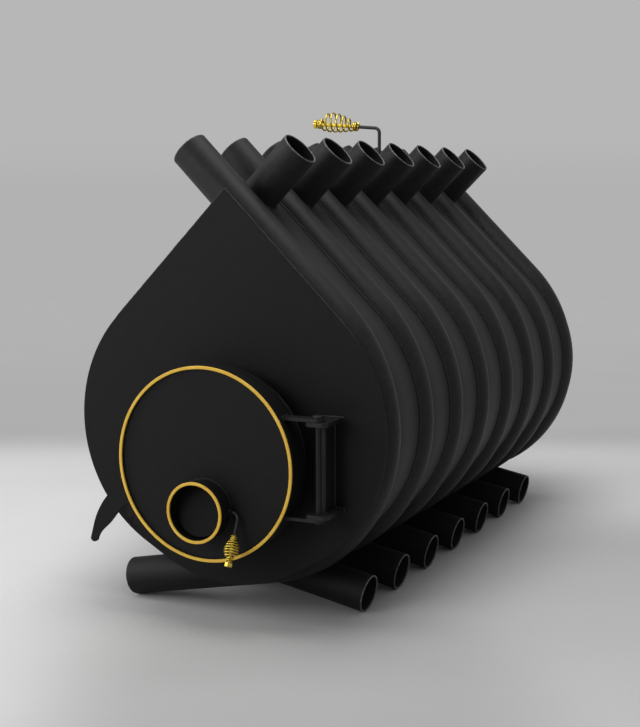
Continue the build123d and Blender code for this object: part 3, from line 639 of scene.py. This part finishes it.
# Door neck. A rolled steel ring welded to the front plate, which the rope seal in the
# door presses on.
door_z = middle("door_neck")[2]
neck_ring = ring_points((0.0, face_y - bead_seat, door_z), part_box("door_neck")[1][0] + bead_seat)
clothe(small_paint, "door_neck")
weld("neck_weld", neck_ring, "stove", "body_paint", bead_radius=0.003, lump=0.003, seed=14.0)

# Door. A band rolled from flat steel, with a round panel welded into its front from
# behind; the band's front edge carries a slim ring in golden yellow paint.
start, place, door_paint, colour, rough, peel = stove_paint(
    "door_paint", (0.0045, 0.0045, 0.0048), (0.007, 0.007, 0.0073), 0.57)
end_finish(start, colour, rough, peel + place.grain(16.0, 2.0) * 1.5, 0.00012, Specular_IOR_Level=0.16)
clothe(door_paint, "door_band", "door_panel")
start, place, gold_paint = start_finish("gold_paint")
streak = place.grain(26.0, 4.0, 0.6).step(0.32, 0.7)
colour = streak.mix((0.87, 0.57, 0.08), (0.79, 0.46, 0.05))
end_finish(start, colour, streak * 0.1 + 0.4, place.grain(420.0, 2.0), 0.00008, Specular_IOR_Level=0.3)
clothe(gold_paint, "door_trim")

# Rope seal. Glass-fibre rope of three twisted strands, pressed into a channel of folded
# steel on the back of the panel.
clothe(small_paint, "seal_channel")
rope_half = 0.0055
strands = 3
twist_steps = 14.0
start, place, fibre = start_finish("glass_fibre")
thread = place.grain(900.0, 3.0, 0.7)
soil = place.grain(24.0, 4.0, 0.6).step(0.35, 0.7)
colour = (thread.step(0.3, 0.7) * 0.35 + soil * 0.45).mix((0.36, 0.35, 0.32), (0.13, 0.125, 0.115))
end_finish(start, colour, 0.9, thread, 0.0008)
rope, (base, ring_r, twist_r, strand_r, twists, at_y, at_z) = start_tree(
    "rope_ring", ring_radius=0.1655, twist_radius=0.0026, strand_radius=0.0029, twists=42,
    at_y=0.0, at_z=0.0)
whole = rope.node("GeometryNodeJoinGeometry", {})
for strand in range(strands):
    ring = rope.node("GeometryNodeMeshCircle", {"Vertices": twists * twist_steps, "Radius": ring_r})
    round_turn = rope.node("GeometryNodeInputIndex", {}) / (twists * twist_steps) * (2 * math.pi)
    lay = round_turn * twists + strand * 2 * math.pi / strands
    reach = ring_r + twist_r * rope.math("COSINE", lay)
    spot = rope.node("ShaderNodeCombineXYZ", {0: reach * rope.math("COSINE", round_turn),
                                              1: at_y + twist_r * rope.math("SINE", lay),
                                              2: at_z + reach * rope.math("SINE", round_turn)})
    ring = rope.node("GeometryNodeSetPosition", {"Geometry": ring, "Position": spot})
    curve = rope.node("GeometryNodeMeshToCurve", {"Mesh": ring})
    section = rope.node("GeometryNodeCurvePrimitiveCircle", {"Resolution": 10, "Radius": strand_r})
    solid = rope.node("GeometryNodeCurveToMesh", {"Curve": curve, "Profile Curve": section})
    rope.tree.links.new(solid.socket, whole.socket.node.inputs[0])
rope_ring = end_tree(rope, whole, fibre)
seal_low, seal_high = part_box("door_seal")
seal = grow("rope_seal", rope_ring, None, "door", "rope_seal", at_y=middle("door_seal")[1], at_z=door_z,
            ring_radius=(seal_high[0] - seal_low[0]) / 2 - rope_half)
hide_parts("door_seal")

# Heat shield. A bare steel disc on three short posts behind the panel, which keeps the
# fire off it.
clothe(mill_steel, "door_shield")

# Air inlet. A piece of 114 mm pipe through the panel with a boss on each side for the
# damper's rod, welded in from the front, with a golden ring on its mouth.
inlet_centre = middle("inlet_trim")
pipe_radius = 0.05715
pipe_seat = 0.0004
pipe_foot = (inlet_centre[0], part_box("door_panel")[0][1] - pipe_seat, inlet_centre[2])
clothe(door_paint, "inlet_tube")
clothe(gold_paint, "inlet_trim")
weld("inlet_weld", ring_points(pipe_foot, pipe_radius + pipe_seat), "door", "body_paint",
     bead_radius=0.0012, lump=0.0008, seed=21.0)

# Air inlet damper. A steel disc inside the pipe on a 6 mm rod, which comes out on the right
# and bends down into a handle with a wound wire grip, plated like the flue handle.
start, place, disc_paint, colour, rough, peel = stove_paint(
    "disc_paint", (0.0035, 0.0035, 0.0037), (0.0055, 0.0055, 0.0057), 0.6)
end_finish(start, colour, rough, peel, 0.0001, Specular_IOR_Level=0.12)
clothe(disc_paint, "inlet_disc")
inlet_tilt = math.radians(25.0)
inlet_corner = (0.077, face_y - 0.095, 0.232)
inlet_grip_start = 0.041
inlet_plating = plated_before(2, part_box("inlet_grip")[1][2] - 0.002)
clothe(brass_finish("plated_inlet_rod", inlet_plating), "inlet_spindle")
inlet_coil = grow("inlet_coil_grip", coil_grip, None, "inlet_damper", "grip_brass", length=0.052,
                  wire_radius=0.0015, tight_radius=0.005, widest_radius=0.0133, open_turns=7.0,
                  rise=0.0, lean=1.2, fullness=0.6, turn_x=math.pi, turn_y=-inlet_tilt,
                  turn_z=-math.pi / 2, at_x=inlet_corner[0],
                  at_y=inlet_corner[1] - inlet_grip_start * math.sin(inlet_tilt),
                  at_z=inlet_corner[2] - inlet_grip_start * math.cos(inlet_tilt))
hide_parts("inlet_grip")

# Hinge. A bracket of flat steel with two ears, welded upright on the front plate, holds a
# headed pin; two flat arms on the door's band turn on it.
clothe(small_paint, "hinge_bracket", "hinge_pin", "door_arm_upper", "door_arm_lower")
low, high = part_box("hinge_bracket")
ear = 0.008
web_half = 0.0045
foot_seat = 0.0008
hinge_x = (low[0] + high[0]) / 2
web_x = hinge_x + web_half
half = [(high[0], high[2]), (high[0], high[2] - ear), (web_x, high[2] - ear),
        (web_x, low[2] + ear), (high[0], low[2] + ear), (high[0], low[2])]
foot = half + [(2 * hinge_x - x, z) for x, z in reversed(half)]
weld("hinge_weld", [(x, face_y - foot_seat, z) for x, z in foot], "stove", "body_paint",
     bead_radius=0.0022, lump=0.002, seed=24.0)
arm_seat = 0.0005
arm_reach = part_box("door_band")[1][0] + arm_seat
for word in ("upper", "lower"):
    low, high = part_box(f"door_arm_{word}")
    corners = ((low[1], low[2]), (high[1], low[2]), (high[1], high[2]), (low[1], high[2]))
    loop = [(math.sqrt(arm_reach ** 2 - (z - door_z) ** 2), y, z) for y, z in corners]
    weld(f"arm_weld_{word}", loop, "door", "body_paint", bead_radius=0.0018, lump=0.0015, seed=27.0)

# Latch. A flat steel lever with a leaf-shaped handle turns on a headed bolt in a lug on the
# band, and its hook goes behind an angle welded to the front plate.
clothe(plate_paint, "latch_lug", "latch_lever", "latch_bolt", "latch_keeper")
low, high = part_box("latch_keeper")
foot_top = low[2] + 0.007
corners = ((low[0], low[2]), (high[0], low[2]), (high[0], foot_top), (low[0], foot_top))
weld("keeper_weld", [(x, face_y - foot_seat, z) for x, z in corners], "stove", "body_paint",
     bead_radius=0.002, lump=0.0018, seed=30.0)

low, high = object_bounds()
